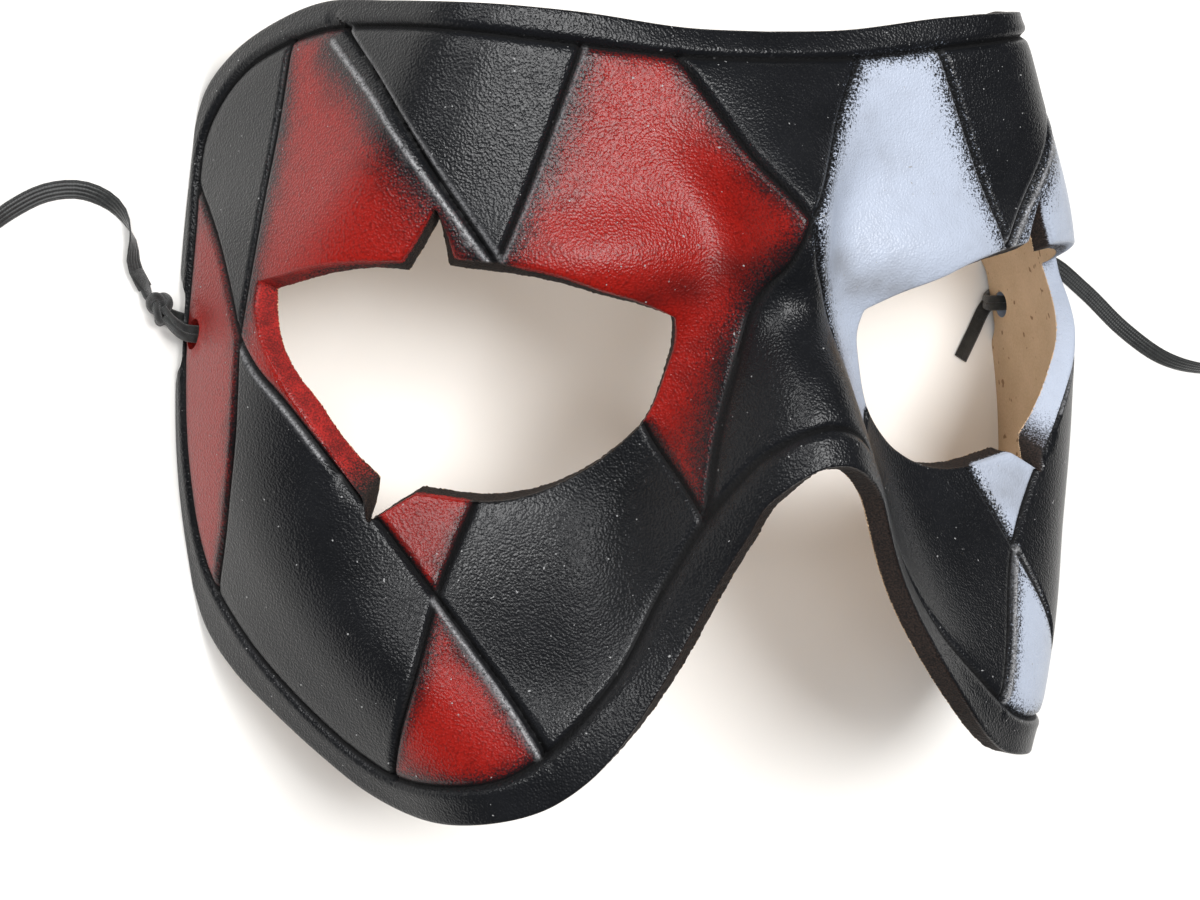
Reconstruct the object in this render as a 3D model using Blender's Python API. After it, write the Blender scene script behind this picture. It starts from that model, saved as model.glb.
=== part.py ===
"""Commedia dell'arte half mask of moulded leather with two ribbon ties.

The mask lies face up. X runs to the viewer's right, Y towards the forehead
and Z out of the face, and Z = 0 is the surface that the temple edges rest on.
The leather is drawn first as a flat blank: u is the distance from the middle
line round the face and v is the height on the face. The form function then
bends the blank to shape. All lengths here are millimetres, and the meshes are
made in metres.
"""
import math

import bpy
import numpy as np
from mathutils import Vector
from mathutils.geometry import delaunay_2d_cdt

# Leather
THICK = 3.4           # leather thickness
GROOVE_DEPTH = 0.7    # tooled lines
GROOVE_HALF = 1.3     # half width of a tooled line
Y_SHIFT = 1.1         # centres the mask's height on Y = 0

# Form of the face, bending round it: three rows at BEND_V, the chin side first
BEND_V = [-55.0, -5.0, 45.0]
FRONT_TURN = [7.0, 18.5, 10.5]     # degrees turned in each 50 mm of the front
TEMPLE_START = [40.5, 58.5, 41.5]  # where the turn into the temple begins
TEMPLE_SPAN = [23.0, 34.5, 22.5]   # length of that turn
TEMPLE_TURN = [53.0, 46.0, 52.5]   # degrees of that turn

# Height of the face above the resting surface, and the nose on it
LEVEL_V = [-63.0, -45.0, -27.0, -9.0, 9.0, 27.0, 47.0]
LEVEL = [46.5, 48.5, 47.5, 50.5, 54.5, 58.5, 60.0]
NOSE_V = [-35.0, -17.0, -1.0, 11.0, 23.0, 39.0]
NOSE_HIGH = [25.4, 25.3, 18.4, 9.0, 11.7, 4.5]
NOSE_HALF = [21.9, 16.4, 11.0, 8.4, 7.0, 14.0]

# Soft hills and hollows: height, u, v, spread in u, spread in v
SOCKET = (-4.7, 37.0, -11.0, 18.5, 13.5)
CHEEK = (5.0, 39.0, -51.5, 16.5, 16.5)
BROW = (4.5, 29.5, 17.5, 21.5, 8.5)

# Edge of the blank, as (u, v) on the half with u above zero
EDGE_TOP = [(0, 52.9), (14, 53.3), (30, 55.2), (46, 56.8), (62, 59.3), (77, 61.4), (89, 60.0),
            (100, 56.6), (107.5, 51.6), (110.4, 46.0), (111.1, 42.0)]
EDGE_LOW = [(104.6, -28.0), (102.0, -34.5), (96.2, -41.0), (87.5, -47.4), (77.5, -54.2),
            (68, -59.8), (58.5, -63.0), (49, -63.7), (41, -62.1), (34.1, -57.7), (27.4, -50.0),
            (19.6, -38.4), (13.9, -28.3), (10.6, -21.9), (8.9, -18.3), (6.4, -15.7),
            (3.7, -13.8), (1.6, -13.0), (0, -12.9)]
REST_TOP = 42.0       # the straight temple edge that the mask rests on
REST_LOW = -28.0
ARCH_V = 13.6         # a shallow arch in that edge, where the ribbon passes under it
ARCH_FLAT = 4.6
ARCH_SLOPE = 4.4
ARCH_RISE = 2.4

# Eye-hole: upper edge with its notch, lower edge with its notch, outer edge
EYE = [[(84.9, 18.9), (74.5, 20.2), (65, 20.8), (56.3, 19.3)],
       [(56.3, 19.3), (52.7, 27.8)],
       [(52.7, 27.8), (50.8, 20.1)],
       [(50.8, 20.1), (43.4, 18.1), (34.8, 16.7), (26.2, 13.8), (15.9, 10.3)],
       [(15.9, 10.3), (16.3, 2.6), (19.6, -5.8), (25.7, -10.4), (35.3, -14.1), (45, -14.9),
        (53.1, -12.8)],
       [(53.1, -12.8), (60.1, -17.9)],
       [(60.1, -17.9), (60.7, -11.2)],
       [(60.7, -11.2), (66.2, -7.3), (72.4, -0.7), (77.8, 6.3), (82.1, 11.8), (84.8, 16.2),
        (84.9, 18.9)]]
TIE_HOLE = (104.7, 12.4)
TIE_HOLE_R = 2.7

# Tooled lines: the border line, then the lozenges
BORDER = [(0, 48.4), (14, 48.8), (30, 50.5), (46, 52.6), (62, 55.3), (76, 56.9), (87, 56.0),
          (96.5, 53.5), (103.5, 49.0), (107.8, 43.6), (109.2, 36.8), (109.4, 28), (109.0, 19),
          (107.9, 9.5), (105.7, 0), (103.5, -9), (101.4, -18), (98.9, -25), (95.3, -30.4),
          (88.6, -38.4), (79.5, -46.5), (70.2, -53), (62.2, -56.7), (53.5, -57.8), (45.5, -57),
          (39.3, -53.4), (32.4, -47.1), (26.4, -40.4), (19.6, -29.3), (14.5, -20.2),
          (11.3, -15.2), (8.1, -11.1), (4.4, -8.4), (1.9, -7.5), (0, -7.2)]
TEMPLE_NODE = (87.7, 11.0)
CHEEK_NODE = (51.9, -29.4)
BRIDGE_NODE = (0, 23.3)
NOSE_NODE = (14.4, -20.1)
LINES = [[(84.9, 56.4), (86.3, 44.9), (88.2, 30), TEMPLE_NODE],
         [TEMPLE_NODE, (86.3, 1.8), (86.6, -6), (90, -16.8), (96.6, -28.6)],
         [(109.2, 36.4), (104.9, 31.5), (97.4, 22.8), TEMPLE_NODE],
         [(72.3, 56.4), (60.6, 44), (52.4, 32), (43.6, 18.1)],
         [TEMPLE_NODE, (81.8, 6), (76.5, 1.7), (72.4, -2.6), (66.1, -10.4), (60.1, -17.9),
          CHEEK_NODE],
         [CHEEK_NODE, (47.9, -36), (43.3, -44.2), (39.0, -53.0)],
         [(45.2, -14.9), (49.0, -23.3), CHEEK_NODE],
         [CHEEK_NODE, (56.6, -41.3), (62.1, -56.7)],
         [(30.6, 50.5), (37.5, 34), (43.6, 18.1)],
         [(15.4, 48.9), (10.6, 41), (5.9, 32.4), BRIDGE_NODE],
         [BRIDGE_NODE, (1.2, 19.8), (2.6, 16.4), (3.9, 14.9), (5.7, 11.8), (7.2, 7.2),
          (8.4, 3.5), (10.2, -2.4), (12.2, -9.7), (13.2, -14.1), NOSE_NODE],
         [(19.4, -5.5), (16.5, -12.8), NOSE_NODE]]

# Ribbon ties
RIBBON_W = 3.0        # ribbon width, also the diameter of the plain tubes
BAND_T = 0.55         # thickness of the strands at the knot
KNOT_AT = (81.3, 17.6, 2.6)
KNOT_R = (1.9, 2.7, 2.2)
KNOT_LOOP = [(80.7, 16.6, 3.7), (79.9, 15.0, 4.9), (78.6, 13.8, 5.7), (76.0, 13.4, 5.7),
             (73.9, 13.4, 5.2), (72.9, 13.5, 4.0), (73.2, 14.0, 2.3), (74.7, 14.7, 1.45),
             (77.2, 15.6, 1.35), (79.7, 16.6, 1.6), (81.0, 17.5, 2.6)]
TAIL = [(81.3, 17.2, 1.3), (79.2, 16.3, 0.7), (76.6, 15.0, 0.6), (74.0, 12.6, 0.6),
        (71.4, 8.4, 0.6), (68.4, 3.6, 0.6)]
COIL_R = 16.5         # coil of the spare length, at the middle of its turns
COIL_WIDE = 3.6       # half the width of the coil's section
COIL_HIGH = 1.65      # half its height: the ribbon stands on edge in the coil
COIL_LEFT = (-128.8, 39.5)
COIL_RIGHT = (147.0, 20.5)
ROUTE_LEFT = [(-83.2, 21.3), (-84.8, 25.0), (-84.9, 29.2), (-87.2, 34.3), (-92, 37.0),
              (-97.7, 36.8), (-103.6, 34.1), (-109.5, 29.8), (-117.2, 23.6)]
ROUTE_RIGHT = [(83.9, 20.6), (89, 20.6), (96.5, 15.3), (105, 7.6), (113.5, 1.9), (122, -0.6),
               (131, -0.9), (141, -0.3), (149.8, 0.9)]

MM = 0.001


def hermite(t, ts, ys):
    """Smooth curve through the knots (ts, ys), carried on straight past its ends."""
    ts = np.asarray(ts, float)
    ys = np.asarray(ys, float)
    slope = np.gradient(ys, ts)
    t = np.asarray(t, float)
    i = np.clip(np.searchsorted(ts, t) - 1, 0, len(ts) - 2)
    h = ts[i + 1] - ts[i]
    s = np.clip((t - ts[i]) / h, 0, 1)
    y = (2 * s**3 - 3 * s**2 + 1) * ys[i] + (3 * s**2 - 2 * s**3) * ys[i + 1]
    y = y + (s**3 - 2 * s**2 + s) * h * slope[i] + (s**3 - s**2) * h * slope[i + 1]
    y = np.where(t < ts[0], ys[0] + slope[0] * (t - ts[0]), y)
    return np.where(t > ts[-1], ys[-1] + slope[-1] * (t - ts[-1]), y)


def ease(t):
    t = np.clip(t, 0, 1)
    return t * t * (3 - 2 * t)


def through(points, step):
    """Points about a step apart on a smooth curve through the given points."""
    p = np.asarray(points, float)
    if len(p) == 2:
        n = max(1, round(float(np.linalg.norm(p[1] - p[0])) / step))
        return p[0] + (p[1] - p[0]) * np.linspace(0, 1, n + 1)[:, None]
    s = np.concatenate([[0], np.cumsum(np.sqrt(np.linalg.norm(np.diff(p, axis=0), axis=1)))])
    fine = np.linspace(0, s[-1], 40 * len(p))
    q = np.stack([hermite(fine, s, p[:, k]) for k in range(p.shape[1])], 1)
    run = np.concatenate([[0], np.cumsum(np.linalg.norm(np.diff(q, axis=0), axis=1))])
    n = max(2, round(float(run[-1]) / step))
    even = np.linspace(0, run[-1], n + 1)
    out = np.stack([np.interp(even, run, q[:, k]) for k in range(p.shape[1])], 1)
    out[0] = p[0]
    out[-1] = p[-1]
    return out


def closed_curve(points, per):
    """Smooth closed curve through the points, each chord in per equal steps of its cubic."""
    p = np.asarray(points, float)
    before = np.roll(p, 1, axis=0)
    after = np.roll(p, -1, axis=0)
    beyond = np.roll(p, -2, axis=0)
    out = []
    for k in range(len(p)):
        m0 = (after[k] - before[k]) / 2
        m1 = (beyond[k] - p[k]) / 2
        for t in np.arange(per) / per:
            out.append((2 * t**3 - 3 * t**2 + 1) * p[k] + (3 * t**2 - 2 * t**3) * after[k]
                       + (t**3 - 2 * t**2 + t) * m0 + (t**3 - t**2) * m1)
    return np.array(out)


def form(u, v, down=0.0):
    """The outer leather surface at blank point (u, v), sunk by down millimetres.

    A horizontal section starts level at the middle line. Its heading angle
    grows evenly over the front and turns by TEMPLE_TURN into the temple, and
    the section is the sum of small steps along that heading. The nose, brow,
    cheek and eye socket are added along the section's normal.
    """
    u = np.asarray(u, float)
    v = np.asarray(v, float)
    front, start, span, turn = (hermite(v, BEND_V, row) for row in
                                (FRONT_TURN, TEMPLE_START, TEMPLE_SPAN, TEMPLE_TURN))

    def heading(s):
        return np.radians(front * np.clip(s / 50, 0, 2) + turn * ease((s - start) / span))
    steps = 120
    x = np.zeros_like(u)
    z = np.zeros_like(u)
    for k in range(steps):
        angle = heading(u * (k + 0.5) / steps)
        x += np.cos(angle) * u / steps
        z -= np.sin(angle) * u / steps
    nose = hermite(v, NOSE_V, NOSE_HIGH) * np.exp(-np.abs(u / hermite(v, NOSE_V, NOSE_HALF))**2.5)
    rise = nose - down
    for high, at_u, at_v, wide_u, wide_v in (SOCKET, CHEEK, BROW):
        rise = rise + high * np.exp(-((u - at_u) / wide_u)**2 - ((v - at_v) / wide_v)**2)
    angle = heading(u)
    level = hermite(v, LEVEL_V, LEVEL)
    return np.stack([x + rise * np.sin(angle), v + Y_SHIFT, level + z + rise * np.cos(angle)], 1)


def normal(u, v):
    """Unit normal of the outer surface, from two small steps on the blank."""
    e = 0.2
    a = form(u + e, v) - form(u - e, v)
    b = form(u, v + e) - form(u, v - e)
    n = np.cross(a, b)
    return n / np.linalg.norm(n, axis=1)[:, None]


def resting_edge(v):
    """The u at which the form comes down to the resting surface, less the tie's arch."""
    u = np.linspace(90, 125, 211)
    z = form(u, np.full_like(u, v))[:, 2]
    rest = float(np.interp(0, z[::-1], u[::-1]))
    return rest - ARCH_RISE * float(1 - ease((abs(v - ARCH_V) - ARCH_FLAT) / ARCH_SLOPE))


def distance(p, q):
    """Distance from each point of p to the polyline q."""
    best = np.full(len(p), 1e9)
    for a, b in zip(q[:-1], q[1:]):
        d = b - a
        t = np.clip(((p - a) @ d) / (d @ d), 0, 1)
        best = np.minimum(best, np.linalg.norm(p - a - t[:, None] * d, axis=1))
    return best


def inside(p, q):
    """Whether each point of p is inside the closed polygon q (even-odd rule)."""
    x, y = p[:, 0], p[:, 1]
    hit = np.zeros(len(p), bool)
    for a, b in zip(q, np.roll(q, -1, axis=0)):
        if a[1] != b[1]:
            cross = (y < a[1]) != (y < b[1])
            hit ^= cross & (x < a[0] + (y - a[1]) * (b[0] - a[0]) / (b[1] - a[1]))
    return hit


def blank_edges():
    """Outline of the half blank, its eye-hole and its tie hole, as point loops."""
    top = through(EDGE_TOP, 3.6)
    top[-1, 0] = resting_edge(REST_TOP)
    rest_v = np.linspace(REST_TOP, REST_LOW, 29)
    rest = np.array([(resting_edge(v), v) for v in rest_v])
    low_points = list(EDGE_LOW)
    low_points[0] = (rest[-1, 0], REST_LOW)
    low = through(low_points, 3.3)
    outline = np.concatenate([top[:-1], rest[:-1], low])
    eye = np.concatenate([through(piece, 2.9)[:-1] for piece in EYE])
    turn = np.linspace(0, 2 * math.pi, 15)[:-1]
    hole = np.array(TIE_HOLE) + TIE_HOLE_R * np.stack([np.cos(turn), np.sin(turn)], 1)
    return outline, eye, hole


def half_sheet(outline, eye, hole, lines, spacing):
    """Triangulates the half blank; returns its points, triangles and wall edges."""
    middle = [y for y in (48.4, 23.3, -7.3)]
    stops = [outline[-1, 1]] + sorted(middle) + [outline[0, 1]]
    mid_v = [stops[0]]
    for a, b in zip(stops[:-1], stops[1:]):
        n = max(1, round((b - a) / 3.2))
        mid_v += list(np.linspace(a, b, n + 1)[1:])
    midline = np.stack([np.zeros(len(mid_v)), mid_v], 1)[1:-1]
    loop = np.concatenate([outline, midline])
    points = [loop, eye, hole]
    edges = []
    base = 0
    for ring in points:
        n = len(ring)
        edges += [(base + i, base + (i + 1) % n) for i in range(n)]
        base += n
    for line in lines:
        points.append(line)
        edges += [(base + i, base + i + 1) for i in range(len(line) - 1)]
        base += len(line)
    fixed = np.concatenate(points)
    rims = [np.concatenate([outline, outline[:0]]), np.concatenate([eye, eye[:1]]),
            np.concatenate([hole, hole[:1]])]
    free = []
    for line in lines:
        d = np.gradient(line, axis=0)
        d = d / np.linalg.norm(d, axis=1)[:, None]
        side = np.stack([-d[:, 1], d[:, 0]], 1) * GROOVE_HALF
        free += [line + side, line - side]
    if free:
        free = np.concatenate(free)
        near = np.min([distance(free, line) for line in lines], axis=0)
        rim = np.min([distance(free, r) for r in rims], axis=0)
        free = free[(near > 0.96 * GROOVE_HALF) & (rim > 0.9) & (free[:, 0] > 0.8)]
        keep = []
        for p in free:
            if all(np.hypot(*(p - q)) > 0.9 for q in keep):
                keep.append(p)
        free = np.array(keep)
    else:
        free = np.zeros((0, 2))
    taken = np.concatenate([fixed, free])
    for size, region in ((3.3, True), (spacing, False)):
        rows = []
        for j, y in enumerate(np.arange(-64, 62, size * 0.866)):
            xs = np.arange(size * (0.5 if j % 2 else 1.0), 112, size)
            rows.append(np.stack([xs, np.full(len(xs), y)], 1))
        grid = np.concatenate(rows)
        fine = (grid[:, 0] < 19) & (grid[:, 1] < 26)
        grid = grid[fine == region]
        gap = np.array([np.min(np.hypot(*(taken - p).T)) for p in grid])
        grid = grid[gap > 0.62 * size]
        taken = np.concatenate([taken, grid])
    verts, _, faces, _, _, _ = delaunay_2d_cdt([Vector(p) for p in taken], edges, [], 0, 1e-5)
    flat = np.array([tuple(p) for p in verts])
    tris = np.array([tuple(f) for f in faces])
    c = flat[tris].mean(1)
    area = np.cross(flat[tris[:, 1]] - flat[tris[:, 0]], flat[tris[:, 2]] - flat[tris[:, 0]])
    ok = inside(c, loop) & ~inside(c, eye) & ~inside(c, hole) & (np.abs(area) > 1e-7)
    tris = tris[ok]
    turned = area[ok] < 0
    tris[turned] = tris[turned][:, ::-1]
    used = np.unique(tris)
    renumber = np.full(len(flat), -1)
    renumber[used] = np.arange(len(used))
    return flat[used], renumber[tris]


def open_edges(flat, tris):
    """Directed edges that only one triangle uses, without those on the middle line."""
    seen = {}
    for t in tris:
        for a, b in ((t[0], t[1]), (t[1], t[2]), (t[2], t[0])):
            seen[(int(a), int(b))] = True
    found = []
    for a, b in seen:
        if (b, a) not in seen and not (flat[a, 0] < 1e-6 and flat[b, 0] < 1e-6):
            found.append((a, b))
    return found


def make_object(name, points, faces, material, smooth=True):
    mesh = bpy.data.meshes.new(name)
    mesh.from_pydata([tuple(MM * float(c) for c in p) for p in points], [], faces)
    mesh.validate()
    mesh.update()
    obj = bpy.data.objects.new(name, mesh)
    bpy.context.scene.collection.objects.link(obj)
    mesh.materials.append(material)
    if smooth:
        mesh.shade_smooth()
        mesh.set_sharp_from_angle(angle=math.radians(40))
    return obj


def make_material(name, colour, roughness):
    mat = bpy.data.materials.new(name)
    mat.use_nodes = True
    shader = mat.node_tree.nodes["Principled BSDF"]
    shader.inputs["Base Color"].default_value = (*colour, 1)
    shader.inputs["Roughness"].default_value = roughness
    shader.inputs["Metallic"].default_value = 0
    mat.diffuse_color = (*colour, 1)
    return mat


def settle(solid, flat, outline):
    """Lays the temple edge flat on the resting surface, away from the tie's arch."""
    near = [np.min(np.hypot(*(outline - p).T)) < 1e-4 for p in flat]
    along = (flat[:, 1] <= REST_TOP + 0.01) & (flat[:, 1] >= REST_LOW - 0.01) & (flat[:, 0] > 90)
    foot = np.abs(flat[:, 1] - ARCH_V) > ARCH_FLAT + ARCH_SLOPE - 0.5
    solid[np.array(near) & along & foot, 2] = 0
    solid[:, 2] = np.maximum(solid[:, 2], 0)


def make_mask(material):
    """The leather shell: tooled outer face, plain inner face, and the cut edges between."""
    outline, eye, hole = blank_edges()
    lines = [through(BORDER, 3.4)] + [through(line, 3.2) for line in LINES]
    outer_flat, outer_tris = half_sheet(outline, eye, hole, lines, 6.0)
    inner_flat, inner_tris = half_sheet(outline, eye, hole, [], 6.5)
    near = np.min([distance(outer_flat, line) for line in lines], axis=0)
    sunk = GROOVE_DEPTH * np.clip(1 - near / GROOVE_HALF, 0, 1)
    outer = form(outer_flat[:, 0], outer_flat[:, 1], sunk)
    n = normal(inner_flat[:, 0], inner_flat[:, 1])
    inner = form(inner_flat[:, 0], inner_flat[:, 1]) - THICK * n
    settle(outer, outer_flat, outline)
    settle(inner, inner_flat, outline)
    outer[outer_flat[:, 0] < 1e-6, 0] = 0
    inner[inner_flat[:, 0] < 1e-6, 0] = 0

    points = []
    faces = []
    index = {}

    def add(key, p):
        if key not in index:
            index[key] = len(points)
            points.append(p)
        return index[key]
    for side in (1, -1):
        for tag, flat, solid, tris in (("o", outer_flat, outer, outer_tris),
                                       ("i", inner_flat, inner, inner_tris)):
            ids = []
            for k in range(len(flat)):
                p = (side * solid[k, 0], solid[k, 1], solid[k, 2])
                on_middle = flat[k, 0] < 1e-6
                ids.append(add((tag, k, 0 if on_middle else side), p))
            flip = (side < 0) != (tag == "i")
            for t in tris:
                face = [ids[t[0]], ids[t[1]], ids[t[2]]]
                faces.append(face[::-1] if flip else face)
            if tag == "o":
                outer_ids = ids
        match = np.array([int(np.argmin(np.hypot(*(inner_flat - p).T))) for p in outer_flat])
        for a, b in open_edges(outer_flat, outer_tris):
            quad = [outer_ids[b], outer_ids[a], ids[match[a]], ids[match[b]]]
            if side < 0:
                quad = quad[::-1]
            faces.append([quad[0], quad[1], quad[2]])
            faces.append([quad[0], quad[2], quad[3]])
    return make_object("mask", points, faces, material)


def sweep(path, wide, thick, closed):
    """A flat band along a path; its width lies across the path, nearest to the Y axis."""
    p = np.asarray(path, float)
    if closed:
        d = np.roll(p, -1, axis=0) - np.roll(p, 1, axis=0)
    else:
        d = np.gradient(p, axis=0)
    d = d / np.linalg.norm(d, axis=1)[:, None]
    lean = np.array([0.0, 1.0, 0.0]) if closed else np.array([0.87, -0.5, 0.0])
    w = lean - (d @ lean)[:, None] * d
    w = w / np.linalg.norm(w, axis=1)[:, None]
    t = np.cross(d, w)
    points = []
    for k in range(len(p)):
        for a, b in ((1, 1), (-1, 1), (-1, -1), (1, -1)):
            points.append(p[k] + a * wide / 2 * w[k] + b * thick / 2 * t[k])
    faces = []
    spans = len(p) if closed else len(p) - 1
    for k in range(spans):
        a, b = 4 * k, 4 * ((k + 1) % len(p))
        for j in range(4):
            c = (j + 1) % 4
            faces.append([a + j, a + c, b + c, b + j])
    if not closed:
        faces.append([3, 2, 1, 0])
        last = 4 * (len(p) - 1)
        faces.append([last, last + 1, last + 2, last + 3])
    return points, faces


def ellipsoid(centre, radii, rings, sides):
    points = [(centre[0], centre[1], centre[2] - radii[2])]
    for i in range(1, rings):
        a = math.pi * i / rings
        for j in range(sides):
            b = 2 * math.pi * j / sides
            points.append((centre[0] + radii[0] * math.sin(a) * math.cos(b),
                           centre[1] + radii[1] * math.sin(a) * math.sin(b),
                           centre[2] - radii[2] * math.cos(a)))
    points.append((centre[0], centre[1], centre[2] + radii[2]))
    faces = []
    for j in range(sides):
        k = (j + 1) % sides
        faces.append([0, 1 + k, 1 + j])
        last = 1 + (rings - 2) * sides
        faces.append([len(points) - 1, last + j, last + k])
        for i in range(rings - 2):
            a, b = 1 + i * sides, 1 + (i + 1) * sides
            faces.append([a + j, a + k, b + k, b + j])
    return points, faces


def mirrored(points, faces, side):
    if side > 0:
        return points, faces
    return [(-p[0], p[1], p[2]) for p in points], [f[::-1] for f in faces]


def make_knot(name, side, material):
    """Ribbon loop through the tie hole and round the edge, its knot and its short tail."""
    loop = closed_curve(KNOT_LOOP, 3)
    tail = through(TAIL, 1.6)
    knot = make_object(name, *mirrored(*sweep(loop, RIBBON_W, BAND_T, True), side), material)
    extras = [("knot_lump", *ellipsoid(KNOT_AT, KNOT_R, 8, 12)),
              ("knot_tail", *sweep(tail, RIBBON_W * 0.95, BAND_T * 0.9, False))]
    for label, points, faces in extras:
        cutter = make_object(name + "_" + label, *mirrored(points, faces, side), material)
        cutter.hide_render = True
        cutter.display_type = "WIRE"
        join = knot.modifiers.new(label, "BOOLEAN")
        join.operation = "UNION"
        join.solver = "EXACT"
        join.object = cutter
    return knot


def make_tube(name, route, coil, material):
    """The ribbon's free stretch as a plain round tube, from the knot to the coil's face."""
    path = through(route, 1.0)
    reach = COIL_R + COIL_WIDE + RIBBON_W / 2 + 0.5
    far = np.hypot(path[:, 0] - coil[0], path[:, 1] - coil[1]) > reach
    path = path[:int(np.argmin(far))] if not far.all() else path
    path = through(path[::4] if len(path) % 4 == 1 else np.concatenate([path[::4], path[-1:]]), 6.0)
    curve = bpy.data.curves.new(name, "CURVE")
    curve.dimensions = "3D"
    curve.bevel_depth = RIBBON_W / 2 * MM
    curve.bevel_resolution = 2
    curve.use_fill_caps = True
    spline = curve.splines.new("POLY")
    spline.points.add(len(path) - 1)
    for point, (x, y) in zip(spline.points, path):
        point.co = (x * MM, y * MM, (RIBBON_W / 2 + 0.05) * MM, 1)
    curve.materials.append(material)
    obj = bpy.data.objects.new(name, curve)
    bpy.context.scene.collection.objects.link(obj)
    return obj


def make_coil(name, centre, material):
    """The outer shape of the coil: an eight-sided section turned about the coil's axis."""
    cut = 0.6
    wide = COIL_WIDE
    high = COIL_HIGH
    section = [(wide, high - cut), (wide - cut, high), (cut - wide, high), (-wide, high - cut),
               (-wide, cut - high), (cut - wide, -high), (wide - cut, -high), (wide, cut - high)]
    turns = 40
    points = []
    for i in range(turns):
        a = 2 * math.pi * i / turns
        for r, z in section:
            points.append((centre[0] + (COIL_R + r) * math.cos(a),
                           centre[1] + (COIL_R + r) * math.sin(a), COIL_HIGH + 0.05 + z))
    faces = []
    for i in range(turns):
        a, b = 8 * i, 8 * ((i + 1) % turns)
        for j in range(8):
            k = (j + 1) % 8
            faces.append([a + j, b + j, b + k, a + k])
    return make_object(name, points, faces, material)


for old in list(bpy.data.objects):
    bpy.data.objects.remove(old, do_unlink=True)

leather = make_material("painted_leather", (0.012, 0.012, 0.013), 0.45)
ribbon = make_material("satin_ribbon", (0.030, 0.031, 0.030), 0.5)

make_mask(leather)
make_knot("knot_left", -1, ribbon)
make_knot("knot_right", 1, ribbon)
make_tube("tie_left", ROUTE_LEFT, COIL_LEFT, ribbon)
make_tube("tie_right", ROUTE_RIGHT, COIL_RIGHT, ribbon)
make_coil("coil_left", COIL_LEFT, ribbon)
make_coil("coil_right", COIL_RIGHT, ribbon)
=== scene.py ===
"""Commedia dell'arte half mask in moulded, tooled and painted leather, lying face up."""
import math

import bpy
import numpy as np
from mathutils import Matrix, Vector
from mathutils.geometry import delaunay_2d_cdt


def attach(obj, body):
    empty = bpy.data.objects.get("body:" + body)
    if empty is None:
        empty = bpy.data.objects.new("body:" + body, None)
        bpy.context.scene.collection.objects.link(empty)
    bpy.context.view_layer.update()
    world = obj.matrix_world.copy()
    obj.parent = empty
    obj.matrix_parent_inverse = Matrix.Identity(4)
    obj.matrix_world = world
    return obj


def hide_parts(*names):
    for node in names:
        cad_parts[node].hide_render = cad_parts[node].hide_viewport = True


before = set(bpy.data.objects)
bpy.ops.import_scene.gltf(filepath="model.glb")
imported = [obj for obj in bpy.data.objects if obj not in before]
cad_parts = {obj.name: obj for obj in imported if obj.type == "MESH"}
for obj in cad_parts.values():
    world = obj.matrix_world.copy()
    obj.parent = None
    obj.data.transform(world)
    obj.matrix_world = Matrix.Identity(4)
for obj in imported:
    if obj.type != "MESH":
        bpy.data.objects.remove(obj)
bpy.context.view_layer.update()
MM = 0.001

# Camera: looks down on the mask from the viewer's left, as the photograph does.
# It stands 0.42 m away with a long lens, and leans a little over its own axis.
camera_data = bpy.data.cameras.new("camera")
camera_data.sensor_width = 36
camera_data.lens = 72
camera_data.clip_start = 0.01
camera = bpy.data.objects.new("camera", camera_data)
camera.location = (-0.1735, 0.0008, 0.3792)
camera.rotation_euler = (0, math.radians(-23.96), math.radians(-3.35))
bpy.context.scene.collection.objects.link(camera)
bpy.context.scene.camera = camera


# Ribbon ties: black woven satin ribbon, 3 mm wide and 0.35 mm thick, 0.40 m a side.
# Each leaves its knot, lies on the table with half a twist in it, and is wound up
# on edge into a loose coil of its spare length.
RIBBON_WIDE = 3.0
RIBBON_THICK = 0.35
RIBBON_LONG = 400.0
COIL_OUTER = 19.7
COIL_STEP = 2.0
LEFT_ROUTE = [(-83.2, 21.3), (-84.8, 25.0), (-84.9, 29.2), (-87.2, 34.3), (-92, 37.0),
              (-97.7, 36.8), (-103.6, 34.1), (-109.5, 29.8), (-117.2, 23.6)]
RIGHT_ROUTE = [(83.9, 20.6), (89, 20.6), (96.5, 15.3), (105, 7.6), (113.5, 1.9), (122, -0.6),
               (131, -0.9), (141, -0.3), (149.8, 0.9)]
LEFT_TWIST = [(0, 30), (4, 20), (7.5, 45), (10.5, 90), (14, 140), (20, 168), (31, 165),
              (40, 140), (50, 110), (60, 92), (70, 90)]
RIGHT_TWIST = [(0, 30), (10, 12), (25, 20), (40, 45), (55, 70), (68, 88), (76, 90)]


def linear(code, alpha=1.0):
    """sRGB hex to linear: c / 12.92 up to 0.04045, else ((c + 0.055) / 1.055) ** 2.4."""
    c = np.array([int(code[i:i + 2], 16) for i in (0, 2, 4)]) / 255
    c = np.where(c <= 0.04045, c / 12.92, ((c + 0.055) / 1.055) ** 2.4)
    return (*[float(x) for x in c], alpha)


def node(tree, kind, settings=None, **links):
    """Adds a node; links name its inputs (i0, i1 by number), as nodes, sockets or values."""
    made = tree.nodes.new(kind)
    for key, value in (settings or {}).items():
        setattr(made, key, value)
    for key, value in links.items():
        socket = made.inputs[int(key[1:])]
        if isinstance(value, bpy.types.Node):
            value = value.outputs[2 if getattr(value, "data_type", "") == "RGBA" else 0]
        if isinstance(value, bpy.types.NodeSocket):
            tree.links.new(value, socket)
        else:
            socket.default_value = value
    return made


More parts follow.
